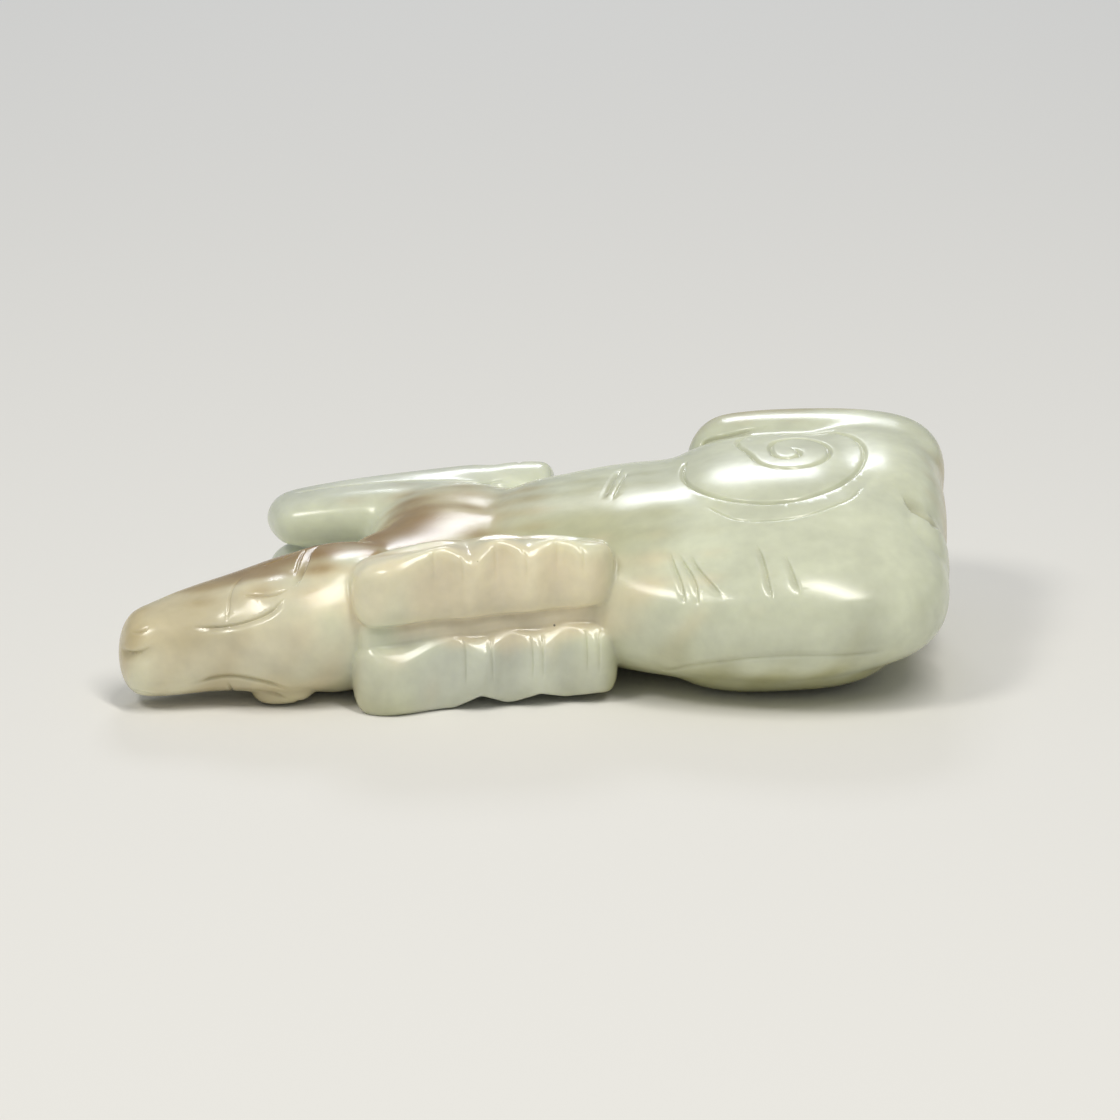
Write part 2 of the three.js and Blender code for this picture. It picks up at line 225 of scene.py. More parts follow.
BACK_LINES = [
    # The edge of the tail, which laps over the buttock behind it.
    (TAIL_CUT, [(24.6, 10.4, 12.9), (26, 8.4, 12.3), (27.2, 8.4, 11.2), (28, 9.4, 9.4), (27.8, 9, 7),
                (26.8, 6.5, 4.5), (25.2, 4, 2.6)]),
    # The groove between the nostrils.
    (FOLD_CUT, [(-31.4, 2, 4.3), (-30.5, 0.2, 4.6), (-29.6, -0.2, 4.9), (-28.8, 0, 5.4)]),
    # Ribs.
    (RIB_CUT, [(7.6, 3.6, 12), (8.0, 1.9, 11.2), (8.4, 0.8, 10.3), (8.8, -0.4, 8.6)]),
    (RIB_CUT, [(8.2, 3.2, 12), (9.4, 0.6, 10.5), (9.7, -0.8, 8.6)]),
    (RIB_CUT, [(9.1, 2.8, 12), (9.7, 1.4, 11.3), (11.4, -0.8, 9.4)]),
    (RIB_CUT, [(13.9, 2.9, 12.7), (14.4, 1.0, 11.9), (15, -1.5, 9.3)]),
    (RIB_CUT, [(15.9, 1.6, 12.4), (16.4, 0.1, 11.6), (17, -1.5, 9.8)]),
    # The lower haunch's edge.
    (LEDGE_CUT, [(7.5, 2.2, 2.1), (10.0, -0.2, 3.6), (15.6, -1.8, 4.9), (23.4, -0.6, 5.0)]),
]
# Patches of colour on the stone: middle, reach along each axis, and strength. Each later one lies over
# those before it. The first two are partly the stone's own tone and partly painted shade.
PATCHES = [
    # Darker towards the table: the stone's own tone with painted shade under the deer.
    ("olive_and_shade", (10, 12, -1), (45, 22, 5.6), 0.9),
    # Darker over the upper barrel behind the antlers: a yellowish tone with painted shade.
    ("olive_and_shade", (2, 9, 9), (7, 8, 7), 0.5),
    ("cream", (-5.5, 1.5, 9.5), (12.5, 4.4, 4), 0.9),
    ("cool", (-5.5, 1.5, 2.5), (10.5, 3.6, 3.4), 0.85),
    ("cool", (-13, 26, 7), (13, 4.5, 8), 0.8),
    ("cream", (-4, 3, 6.2), (9, 3.6, 1.6), 0.9),
    ("cream", (-25, 2, 6), (11, 8, 7), 0.7),
    ("tan", (-21, 7, 9), (9, 4.5, 3), 0.6),
    ("russet", (-22, 7, 9.2), (7, 3.8, 2.4), 0.8),
    ("russet", (-16, 8.5, 10.6), (3.4, 4, 1.6), 0.6),
    ("tan", (-9, 14, 10.6), (7, 8, 4), 0.7),
    ("russet", (-13, 12, 10.4), (6, 6.2, 3.4), 0.85),
    ("tan", (-7, 5, 12.4), (8, 1.6, 1), 0.5),
    ("tan", (28.6, 18, 9), (1.8, 8, 5), 0.7),
    ("tan", (16, 28.5, 13.5), (11, 2.4, 2.4), 0.5),
    ("tan", (-31.4, 3, 5), (2, 4, 4), 0.5),
    ("tan", (-28, 3, 6.5), (5, 5, 4), 0.4),
    ("tan", (-21, 3, 1.5), (9, 4, 2), 0.4),
]
# How uneven the patches' edges are, and the slantwise waves behind that, in radians a mm.
WANDER = 0.45
WANDER_WAVES = [(0.9, 1.3, 0), (-0.7, 1.1, 0.8)]
# How far the painted shade in the cuts takes over where a cut is deepest, and the depth that counts as
# that.
CUT_SHADE_SHARE = 0.4
CUT_SHADE_DEPTH = 0.25
# A dark mineral speck in the web between the antlers.
SPECK = (-0.4, 2.6, 5.9)
SPECK_SIZE = 0.14
SPECK_SHARE = 0.15
# Sizes of the stone's clouds and of its fine felted grain, and how much they darken and lighten it. The
# noise is stretched between the two values that it mostly keeps to.
CLOUD_SIZE = 7.0
GRAIN_SIZE = 0.9
CLOUD_SHARES = (0.88, 1.1)
GRAIN_SHARES = (0.97, 1.03)
NOISE_RANGE = (0.3, 0.7)
# Nephrite's refraction, the polish's roughness between clouds, and how the light sinks in.
JADE_REFRACTION = 1.61
POLISH_ROUGHNESS = (0.2, 0.265)
SINK_SHARE = 0.7
SINK_COLOURS = (1.0, 1.0, 0.75)
SINK_DEPTH = 1.3

# How far a corner moves to its neighbours' mean in one round of relaxing: while masses are blended, and
# while steps are smoothed. Rounds for the fused stone's steps and for those of its split faces.
BLEND_SHARE = 0.8
SMOOTH_SHARE = 0.5
FUSED_ROUNDS = 6
SPLIT_ROUNDS = 3
# Places at which a line's run is measured, for each of its given points.
RUN_PLACES = 30
# Spacing of the points along a cut, rounds of averaging them, and the room round it that gets finer
# faces. Its depth across falls with this power, and at its ends it fades between these two distances.
CUT_STEP = 0.12
CUT_ROUNDS = 12
CUT_MARGIN = 0.15
CUT_POWER = 1.5
CUT_FADES = (-0.2, 0.9)
# Steps of a cut that are measured together.
CUT_STRETCH = 20


def smoothstep(value, low, high):
    """0 below low and 1 above high, with 3t^2 - 2t^3 between them."""
    t = np.clip((value - low) / (high - low), 0, 1)
    return t * t * (3 - 2 * t)


def mid_plane(x, y):
    """Height of the mid-plane: rises along x, twists with x times y, and droops with the square of the
    distance past the neck, towards the nose."""
    droop = np.maximum(0, DROOP_FROM_X - x)
    twist = MID_TWIST * (x - TWIST_FROM[0]) * (y - TWIST_FROM[1])
    return MID_HEIGHT + MID_RISE * x + twist - HEAD_DROOP * droop * droop


def through(points, reach):
    """The smooth line through the points at a share of its length in points, and its slope: the
    cubic between two points whose slope at each is half the step between that point's neighbours."""
    points = np.asarray(points, float)
    row = np.vstack([2 * points[0] - points[1], points, 2 * points[-1] - points[-2]])
    place = np.clip(reach, 0, 1) * (len(points) - 1)
    first = np.minimum(place.astype(int), len(points) - 2)
    s = (place - first)[..., None]
    before, start, end, after = (row[first + k] for k in range(4))
    leave = (end - before) / 2
    arrive = (after - start) / 2
    value = ((2 * s**3 - 3 * s**2 + 1) * start + (s**3 - 2 * s**2 + s) * leave
             + (3 * s**2 - 2 * s**3) * end + (s**3 - s**2) * arrive)
    slope = ((6 * s**2 - 6 * s) * (start - end) + (3 * s**2 - 4 * s + 1) * leave
             + (3 * s**2 - 2 * s) * arrive)
    return value, slope


def sharpened(value, power):
    """Turns a sine or cosine into that of a superellipse: its size to the power 2 over power."""
    return np.sign(value) * np.abs(value) ** (2 / power)


def closed_skin(grid):
    """Corners and faces of a closed skin. The grid's rows run from pole to pole and its columns close
    on themselves. Its first and last rows are one point each."""
    rows, columns = grid.shape[:2]
    corners = np.vstack([grid[0, :1], grid[1:-1].reshape(-1, 3), grid[-1, :1]])
    ring = 1 + np.arange((rows - 2) * columns).reshape(rows - 2, columns)
    beside = np.roll(ring, -1, axis=1)
    quads = np.stack([ring[:-1], beside[:-1], beside[1:], ring[1:]], -1).reshape(-1, 4)
    last = len(corners) - 1
    top = np.stack([np.zeros(columns, int), beside[0], ring[0]], -1)
    bottom = np.stack([np.full(columns, last), ring[-1], beside[-1]], -1)
    return corners, [quads, np.vstack([top, bottom])]


def sphere_grid(along, around):
    """Latitude shares from 0 to 1 down the rows, and longitudes in radians along the columns."""
    longitudes = np.arange(around) * 2 * np.pi / around
    return np.meshgrid(np.linspace(0, 1, along + 1), longitudes, indexing="ij")


def carried_section(stations, power=2.4, cap_start=0.2, cap_end=0.2, cap_power=2.0, lift=0.0, along=90,
                    around=90, bend=None):
    """A superellipse section carried along the line through the stations, on both sides of the
    mid-plane. Quarter ellipses close its ends. bend may scale the section's depth and height."""
    latitude, longitude = sphere_grid(along, around)
    angle = np.clip(np.minimum(latitude, 1 - latitude) / CAP_SHARE, 0, 1) * np.pi / 2
    swell = sharpened(np.sin(angle), cap_power)
    inwards = 1 - sharpened(np.cos(angle), cap_power)
    middle = np.clip((latitude - CAP_SHARE) / (1 - 2 * CAP_SHARE), 0, 1) * (1 - cap_start - cap_end)
    reach = np.where(latitude < 0.5, cap_start * inwards, 1 - cap_end * inwards)
    reach = np.where(angle < np.pi / 2, reach, cap_start + middle)
    value, slope = through(stations, reach)
    tangent = slope[..., :2] / np.linalg.norm(slope[..., :2], axis=-1, keepdims=True)
    across = sharpened(np.cos(longitude), power)
    above = sharpened(np.sin(longitude), power)
    wider, higher = bend(value[..., 0], across, above) if bend else (1, 1)
    sideways = value[..., 2] * swell * across * wider
    upwards = value[..., 3] * swell * above * higher
    x = value[..., 0] - tangent[..., 1] * sideways
    y = value[..., 1] + tangent[..., 0] * sideways
    return closed_skin(np.stack([x, y, mid_plane(value[..., 0], y) + lift + upwards], -1))


def pebble(place, lift=0.0, power=2.4, along=90, around=90):
    """A superellipsoid on the mid-plane or lifted off it: the half sizes times the sharpened sine and
    cosine of latitude and longitude."""
    x, y, length, depth, half = place
    latitude, longitude = sphere_grid(along, around)
    ring = np.sin(latitude * np.pi)
    px = x + length * sharpened(np.cos(longitude), power) * sharpened(ring, power)
    py = y - depth * sharpened(np.sin(longitude), power) * sharpened(ring, power)
    return closed_skin(np.stack(
        [px, py, mid_plane(px, py) + lift + half * sharpened(np.cos(latitude * np.pi), power)], -1))


def limb(stations, sides, **shape):
    """A leg's section on the right side and its twin on the left."""
    return [carried_section([(x + along, y, depth, half * share) for x, y, depth, share in stations],
                            lift=lift, **shape) for half, lift, along in sides]


def body_masses():
    """The masses that flow into one another: torso, rump, chest, haunches, neck, head and legs."""
    def thinner(x, across, above):
        falls = smoothstep(-across, *SHOULDER_FROM) * smoothstep(x, *SHOULDER_FROM_X)
        thins = smoothstep(x, *RUMP_THINS_FROM)
        return 1, 1 - np.where(above < 0, RUMP_THINS * thins, SHOULDER_FALLS * falls)
    masses = [carried_section(TORSO, power=2.4, cap_start=0.14, cap_end=0.16, bend=thinner)]
    masses += [pebble(RUMP, lift=RUMP_LIFT, power=2.8), pebble(CHEST, power=2.3)]
    masses += [pebble(place, lift=side * out, power=power) for side, out, power, place in HAUNCHES]
    masses += limb(HIND_SHANK, HINDLEG_SIDES, power=2.6, cap_start=0.3, cap_end=0.16)
    masses += limb(FOREARM, FORELEG_SIDES, cap_start=0.12, cap_end=0.14)
    masses += limb(FORE_CANNON, FORELEG_SIDES, cap_start=0.12, cap_end=0.14)
    masses += limb(FORE_HOOF, FORELEG_SIDES, cap_start=0.14, cap_end=0.14)
    masses += [carried_section(NECK), carried_section(HEAD, power=2.5, cap_start=0.09, cap_end=0.14)]
    masses += [carried_section(EAR, lift=side * EAR_OUT) for side in (1, -1)]
    return masses + [pebble(UPPER_EYE, lift=UPPER_EYE_OUT)]


def antler_stations(half, right, inset):
    """The stations of a bar between the antlers' left end and its own right end: its front edge
    recedes evenly and its depth narrows."""
    stations = []
    for share in ANTLER_SHARES:
        x = ANTLER_LEFT + (right - ANTLER_LEFT) * share
        depth = ANTLER_DEPTH[0] + (ANTLER_DEPTH[1] - ANTLER_DEPTH[0]) * share
        front = ANTLER_FRONT + ANTLER_RECEDES * (x - ANTLER_FRONT_X)
        stations.append((x, front + depth / 2 + inset, depth / 2, half))
    return stations


def lobes(x, level):
    """How far a scalloped front edge stands out, from 0 in a valley to 1 on a crest: a cosine between
    each crest and the valleys or ends beside it."""
    crests = np.array(LOBE_CRESTS[level])
    valleys = (crests[:-1] + crests[1:]) / 2
    valleys[0] = crests[0] + FIRST_VALLEY * (crests[1] - crests[0])
    bounds = np.concatenate([[ANTLER_LEFT], valleys, [ANTLER_RIGHT[level]]])
    lobe = np.searchsorted(valleys, x)
    edge = np.where(x < crests[lobe], bounds[lobe], bounds[lobe + 1])
    share = np.clip((x - crests[lobe]) / (edge - crests[lobe]), 0, 1)
    return (1 + np.cos(np.pi * share)) / 2


def antler_cuts(x, across, level):
    """Depth of the channel and the notches in an antler's outer face: the deeper of two V shapes. The
    channel's walls rise evenly to both sides of its place. A notch's walls rise evenly along x, and it
    widens and grows shallow from the front edge towards the back."""
    reach = np.where(across < CHANNEL_PLACE, *CHANNEL_REACH)
    runs = smoothstep(x, *CHANNEL_FROM) * (1 - smoothstep(x, *CHANNEL_TO))
    channel = CHANNEL_DEPTH * runs * (1 - np.abs(across - CHANNEL_PLACE) / reach)
    cut = np.maximum(0, channel)
    back = (1 + across) / 2
    for crest, depth in zip(LOBE_CRESTS[level], NOTCH_DEPTHS):
        wide = NOTCH_REACH * (1 + NOTCH_WIDENS * back)
        cut = np.maximum(cut, depth * (1 - np.abs(x - crest) / wide) * (1 - back ** 2))
    return cut


def antler_masses():
    """Both bars with their scalloped fronts, and the web between them."""
    masses = []
    for level in ("upper", "lower"):
        def scallop(x, across, above, level=level, out=ANTLER_OUT[level], half=ANTLER_HALF[level]):
            dip = LOBE_DEPTH * (1 - lobes(x, level)) / (ANTLER_DEPTH[0] / 2)
            wider = np.where(across < 0, 1 + dip * across, 1)
            edge = ANTLER_TOP[level] - ANTLER_ARCH[level] * (x - ANTLER_ARCH_X) ** 2
            edge = edge + ANTLER_SLOPE * (1 - across) / 2 - abs(out) - antler_cuts(x, across, level)
            scoop = SCOOP_DEPTH * lobes(x, level) * smoothstep(-across, *SCOOP_FROM)
            inner = 1 - (scoop / half if level == "lower" else 0)
            return wider, np.where(np.sign(out) * above > 0, edge / half, inner)
        masses.append(carried_section(
            antler_stations(ANTLER_HALF[level], ANTLER_RIGHT[level], 0), power=3.4, cap_start=0.1,
            cap_end=0.06, cap_power=2.8, lift=ANTLER_OUT[level], along=180, around=120, bend=scallop))
    masses.append(carried_section(antler_stations(WEB_HALF, WEB_END, WEB_RECESS), power=4,
                                  cap_start=0.06, cap_end=0.04, cap_power=2.8))
    return masses


def sharp_masses():
    """The forms that keep their creases: the antlers, the tail, and the eye under the head."""
    return [*antler_masses(), pebble(TAIL, lift=TAIL_LIFT, power=2.2),
            pebble(LOWER_EYE, lift=-LOWER_EYE_OUT)]


def mesh_from(skins):
    """One mesh of several closed skins, each with its faces turned outwards."""
    mesh = bpy.data.meshes.new("stone")
    corners, loops, sizes = [], [], []
    start = 0
    for points, faces in skins:
        volume = sum(np.sum(points[f[:, 0]] * np.cross(points[f[:, k]], points[f[:, k + 1]]))
                     for f in faces for k in range(1, f.shape[1] - 1))
        for f in faces:
            f = f if volume > 0 else f[:, ::-1]
            loops.append((f + start).ravel())
            sizes.append(np.full(len(f), f.shape[1]))
        corners.append(points)
        start += len(points)
    corners, loops, sizes = map(np.concatenate, (corners, loops, sizes))
    mesh.vertices.add(len(corners))
    mesh.vertices.foreach_set("co", corners.astype(np.float32).ravel())
    mesh.loops.add(len(loops))
    mesh.loops.foreach_set("vertex_index", loops.astype(np.int32))
    mesh.polygons.add(len(sizes))
    mesh.polygons.foreach_set("loop_start", (np.cumsum(sizes) - sizes).astype(np.int32))
    mesh.update(calc_edges=True)
    return mesh


def applied(obj):
    """Replaces an object's mesh by what its modifiers make of it."""
    graph = bpy.context.evaluated_depsgraph_get()
    mesh = bpy.data.meshes.new_from_object(obj.evaluated_get(graph))
    old = obj.data
    obj.modifiers.clear()
    obj.data = mesh
    bpy.data.meshes.remove(old)


def fused(obj, voxel):
    """One skin round everything in the object, by a voxel remesh."""
    remesh = obj.modifiers.new("fuse", "REMESH")
    remesh.mode = "VOXEL"
    remesh.voxel_size = voxel
    applied(obj)


def corner_array(mesh):
    """The mesh's corners as an array of x, y and z."""
    points = np.empty(len(mesh.vertices) * 3, np.float32)
    mesh.vertices.foreach_get("co", points)
    return points.reshape(-1, 3).astype(float)


def neighbour_table(mesh):
    """Every corner's neighbours in one row, where each corner's part starts, and how long it is."""
    edges = np.empty(len(mesh.edges) * 2, np.int32)
    mesh.edges.foreach_get("vertices", edges)
    edges = edges.reshape(-1, 2)
    both = np.vstack([edges, edges[:, ::-1]])
    both = both[np.argsort(both[:, 0], kind="stable")]
    counts = np.bincount(both[:, 0], minlength=len(mesh.vertices))
    return both[:, 1], np.cumsum(counts) - counts, counts


def relaxed(points, table, rounds, share):
    """Moves each corner part of the way to its neighbours' mean, again and again."""
    neighbours, starts, counts = table
    for _ in range(rounds):
        mean = np.add.reduceat(points[neighbours], starts, axis=0) / counts[:, None]
        points = points + share * (mean - points)
    return points


def build_stone(voxel, blend):
    """The uncarved deer in the carver's frame: soft masses fused and relaxed, then the sharp ones. A
    form spreads by blend when the rounds are twice the square of blend over voxel, over the share."""
    stone = bpy.data.objects.new("stone", mesh_from(body_masses()))
    bpy.context.scene.collection.objects.link(stone)
    fused(stone, voxel)
    table = neighbour_table(stone.data)
    rounds = int(2 * (blend / voxel) ** 2 / BLEND_SHARE)
    set_corners(stone.data, relaxed(corner_array(stone.data), table, rounds, BLEND_SHARE))
    sharp = bpy.data.objects.new("sharp", mesh_from(sharp_masses()))
    bpy.context.scene.collection.objects.link(sharp)
    join = {"active_object": stone, "selected_editable_objects": [stone, sharp]}
    with bpy.context.temp_override(**join):
        bpy.ops.object.join()
    fused(stone, voxel)
    return stone


def evenly(points, step):
    """Points at even steps along the smooth line through the given ones."""
    fine, _ = through(points, np.linspace(0, 1, RUN_PLACES * len(points)))
    run = np.concatenate([[0], np.cumsum(np.linalg.norm(np.diff(fine, axis=0), axis=1))])
    at = np.linspace(0, run[-1], max(3, int(run[-1] / step)))
    return np.stack([np.interp(at, run, fine[:, k]) for k in range(3)], -1)


def mirrored(points):
    """The same points on the other side of the mid-plane."""
    x, y, z = np.transpose(points)
    return np.stack([x, y, 2 * mid_plane(x, y) - z], -1)


def spiral(side, out, place):
    """The spiral on a haunch: its distance from the middle passes smoothly through the shares given
    for the quarter turns, and its middle moves between two of its turns."""
    x, y, length, depth, half = place
    reach = np.linspace(0, 1, SPIRAL_POINTS)
    share, _ = through([[value] for value in SPIRAL_SHARES], reach)
    turn = reach * (len(SPIRAL_SHARES) - 1) / 4
    angle = 2 * np.pi * (SPIRAL_START + side * turn)
    moved = smoothstep(turn, *SPIRAL_SHIFTS_IN)
    px = x + SPIRAL_SHIFT[0] * moved + length * share[:, 0] * np.cos(angle)
    py = y + SPIRAL_SHIFT[1] * moved + depth * share[:, 0] * np.sin(angle)
    return np.stack([px, py, mid_plane(px, py) + side * (out + half)], -1)


def antler_flutes():
    """The upright strokes on the antlers' front faces, each as its cut and its line."""
    flutes = []
    for level, places in FLUTE_PLACES.items():
        x = np.array(places)
        y = ANTLER_FRONT + ANTLER_RECEDES * (x - ANTLER_FRONT_X) + LOBE_DEPTH * (1 - lobes(x, level))
        heights = [mid_plane(x, y) + above for above in FLUTE_HEIGHTS[level]]
        lines = np.stack([np.stack([x, y, z], -1) for z in heights], 1)
        flutes += [(FLUTE_CUTS[level], line) for line in lines]
    return flutes


def all_cuts():
    """Every cut as its half widths, its depth and its line. A mirrored line has its sides swapped."""
    cuts = [(RING_CUT, spiral(side, out, place)) for side, out, _, place in HAUNCHES]
    cuts += antler_flutes()
    for (near, far, depth), line in PAIRED_LINES:
        cuts.append(((near, far, depth), line))
        cuts.append(((far, near, depth), mirrored(line)))
    return cuts + BACK_LINES


def laid_on(tree, line):
    """The line's evenly spaced points dropped onto the nearest skin and evened out by averaging each
    with its neighbours, and their directions."""
    dropped = np.array([tree.find_nearest(Vector(point))[0] for point in evenly(line, CUT_STEP)])
    for _ in range(CUT_ROUNDS):
        dropped[1:-1] = (dropped[:-2] + 2 * dropped[1:-1] + dropped[2:]) / 4
    ahead = np.gradient(dropped, axis=0)
    return dropped, ahead / np.linalg.norm(ahead, axis=1, keepdims=True)


def cut_depth(points, normals, cuts, margin=0.0):
    """How deep the cuts go at each corner. Across a cut the depth falls with a power of what is left
    of the half width on that side, and it fades towards the cut's ends."""
    depth = np.zeros(len(points))
    for (near, far, deep), line, ahead in cuts:
        room = max(near, far) + margin
        chosen = np.flatnonzero(np.all((points > line.min(0) - room) & (points < line.max(0) + room), 1))
        for start in range(0, len(line), CUT_STRETCH):
            part = slice(start, start + CUT_STRETCH + 1)
            low, high = line[part].min(0) - room, line[part].max(0) + room
            some = chosen[np.all((points[chosen] > low) & (points[chosen] < high), 1)]
            if not len(some):
                continue
            apart = points[some][:, None] - line[part][None]
            nearest = np.argmin(np.sum(apart ** 2, -1), 1)
            apart = apart[np.arange(len(some)), nearest]
            way = ahead[part][nearest]
            along = np.sum(apart * way, -1)
            last = (nearest + start == len(line) - 1) | (nearest + start == 0)
            along = np.where(last, 0, np.clip(along, -CUT_STEP, CUT_STEP))
            away = np.linalg.norm(apart - along[:, None] * way, axis=1)
            side = np.sum(np.cross(way, apart) * normals[some], -1)
            left = np.clip(1 - (away - margin) / np.where(side > 0, near, far), 0, 1)
            place = (nearest + start) * CUT_STEP
            ends = np.minimum(place, (len(line) - 1) * CUT_STEP - place)
            fade = 1 if margin else smoothstep(ends, CUT_FADES[0], CUT_FADES[1] + room)
            depth[some] = np.maximum(depth[some], deep * fade * left ** CUT_POWER)
    return depth


def split_near(stone, chosen):
    """Splits in four every face with a chosen corner."""
    mesh = stone.data
    bpy.ops.object.select_all(action="DESELECT")
    stone.select_set(True)
    bpy.context.view_layer.objects.active = stone
    mesh.vertices.foreach_set("select", chosen)
    bpy.ops.object.mode_set(mode="EDIT")
    bpy.context.tool_settings.mesh_select_mode = (True, False, False)
    bpy.ops.mesh.select_more()
    bpy.ops.mesh.subdivide(number_cuts=1)
    bpy.ops.object.mode_set(mode="OBJECT")


def corner_normals(mesh):
    """The corners' normals as an array."""
    normals = np.empty(len(mesh.vertices) * 3, np.float32)
    mesh.vertex_normals.foreach_get("vector", normals)
    return normals.reshape(-1, 3).astype(float)


def set_corners(mesh, points):
    """Puts the mesh's corners in their places."""
    mesh.vertices.foreach_set("co", points.astype(np.float32).ravel())
    mesh.update()


# The photograph is taken from behind the deer's back, a little above it.
CAMERA_AIM = np.array([0.0, 3.42, 10.53])
CAMERA_DISTANCE = 400.0
CAMERA_PITCH = math.radians(18)
CAMERA_LENS = 180.0
CAMERA_SENSOR = 36.0
CAMERA_NEAREST = 0.01
# Soft lights: name, place and size in metres, watts and colour.
STUDIO_LIGHTS = [
    ("back_softbox", (0.0, 0.38, 0.26), (0.13, 0.09), 0.32, "#F2F6FF"),
    ("front_softbox", (0.10, -0.15, 0.40), (0.05, 0.30), 0.94, "#FFFBF2"),
    ("left_softbox", (-0.22, -0.17, 0.36), (0.11, 0.10), 0.55, "#FFFBF2"),
]
FLOOR_HALF = 3.0
PAPER_ROUGHNESS = 0.9


def placed(points):
    """Points of the carver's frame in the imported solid's frame, in metres."""
    return (np.asarray(points) - MIDDLE) * MM


def inside_box(points):
    """Draws points in, by a hair where it is needed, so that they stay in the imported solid's box."""
    low, high = (np.array(corner) for corner in CAD_BOX)
    start, end = points.min(axis=0), points.max(axis=0)
    share = np.minimum(1, (high - low) / (end - start))
    points = (points - (start + end) / 2) * share + (start + end) / 2
    return points + np.maximum(0, low - points.min(axis=0)) - np.maximum(0, points.max(axis=0) - high)


def linear(code):
    """Linear red, green and blue from an sRGB hex value."""
    value = np.array([int(code[k:k + 2], 16) / 255 for k in (1, 3, 5)])
    return tuple(np.where(value <= 0.04045, value / 12.92, ((value + 0.055) / 1.055) ** 2.4))


def add_node(tree, kind, settings, sockets):
    """Adds a node with its settings. A socket gets a value, or a link from another node's output."""
    node = tree.nodes.new(kind)
    for name, value in settings.items():
        setattr(node, name, value)
    for name, value in sockets.items():
        if isinstance(value, bpy.types.NodeSocket):
            tree.links.new(value, node.inputs[name])
        else:
            node.inputs[name].default_value = value
    return node


def colour_skin(mesh, cuts, colours):
    """Gives each corner the stone's colour there, with painted shade near the table and in the cuts. A
    patch fades with exp(-q^2), where q is the sum of the squared distances from its middle in units of its
    reach, made uneven by a product of two sines that run slantwise through the stone. Cuts are darkened
    with painted shade, more where they are deeper."""
    points = corner_array(mesh) / MM + MIDDLE
    wander = 1 + WANDER * np.prod(np.sin(points @ np.transpose(WANDER_WAVES)), axis=1)
    tint = np.tile(np.array(colours.celadon), (len(points), 1))
    for name, middle, reach, strength in PATCHES:
        spread = np.sum(((points - middle) / reach) ** 2, axis=1) * wander
        share = strength * np.exp(-spread ** 2)
        tint += share[:, None] * (np.array(getattr(colours, name)) - tint)
    # Painted shade in the cuts: darker where a cut goes deeper.
    share = CUT_SHADE_SHARE * np.clip(cut_depth(points, corner_normals(mesh), cuts) / CUT_SHADE_DEPTH, 0, 1)
    tint += share[:, None] * (np.array(colours.cut_shade) - tint)
    layer = mesh.color_attributes.new("stone_colour", "FLOAT_COLOR", "POINT")
    opaque = np.column_stack([tint, np.ones(len(tint))])
    layer.data.foreach_set("color", opaque.astype(np.float32).ravel())


def polished_jade():
    """Nephrite, ground and polished by hand: light sinks a little way in, faint clouds and a felted
    grain show under the skin, and the skin has a soft, greasy gloss that is a little uneven."""
    material = bpy.data.materials.new("polished_nephrite_jade")
    material.use_nodes = True
    tree = material.node_tree
    tree.nodes.clear()
    place = add_node(tree, "ShaderNodeTexCoord", {}, {}).outputs["Object"]
    stone = add_node(tree, "ShaderNodeAttribute", {"attribute_name": "stone_colour"}, {}).outputs["Color"]
    clouds = add_node(tree, "ShaderNodeTexNoise", {}, {
        "Vector": place, "Scale": 1 / (CLOUD_SIZE * MM), "Detail": 3.0, "Distortion": 0.6})
    grain = add_node(tree, "ShaderNodeTexNoise", {}, {
        "Vector": place, "Scale": 1 / (GRAIN_SIZE * MM), "Detail": 2.0})
    noise_range = {"From Min": NOISE_RANGE[0], "From Max": NOISE_RANGE[1]}
    pale = add_node(tree, "ShaderNodeMapRange", {}, {
        **noise_range, "Value": clouds.outputs["Fac"], "To Min": CLOUD_SHARES[0],
        "To Max": CLOUD_SHARES[1]})
    felt = add_node(tree, "ShaderNodeMapRange", {}, {
        **noise_range, "Value": grain.outputs["Fac"], "To Min": GRAIN_SHARES[0],
        "To Max": GRAIN_SHARES[1]})
    both = add_node(tree, "ShaderNodeMath", {"operation": "MULTIPLY"}, {
        0: pale.outputs["Result"], 1: felt.outputs["Result"]})
    clouded = add_node(tree, "ShaderNodeVectorMath", {"operation": "SCALE"}, {
        0: stone, "Scale": both.outputs["Value"]})
    away = add_node(tree, "ShaderNodeVectorMath", {"operation": "DISTANCE"}, {0: place, 1: placed(SPECK)})
    clear = add_node(tree, "ShaderNodeMapRange", {"interpolation_type": "SMOOTHSTEP"}, {
        "Value": away.outputs["Value"], "From Min": 0.5 * SPECK_SIZE * MM, "From Max": SPECK_SIZE * MM,
        "To Min": SPECK_SHARE, "To Max": 1.0})
    colour = add_node(tree, "ShaderNodeVectorMath", {"operation": "SCALE"}, {
        0: clouded.outputs["Vector"], "Scale": clear.outputs["Result"]})
    gloss = add_node(tree, "ShaderNodeMapRange", {}, {
        **noise_range, "Value": clouds.outputs["Fac"], "To Min": POLISH_ROUGHNESS[0],
        "To Max": POLISH_ROUGHNESS[1]})
    shader = add_node(tree, "ShaderNodeBsdfPrincipled", {}, {
        "Base Color": colour.outputs["Vector"], "Roughness": gloss.outputs["Result"],
        "IOR": JADE_REFRACTION, "Subsurface Weight": SINK_SHARE, "Subsurface Radius": SINK_COLOURS,
        "Subsurface Scale": SINK_DEPTH * MM})
    add_node(tree, "ShaderNodeOutputMaterial", {}, {"Surface": shader.outputs["BSDF"]})
    return material


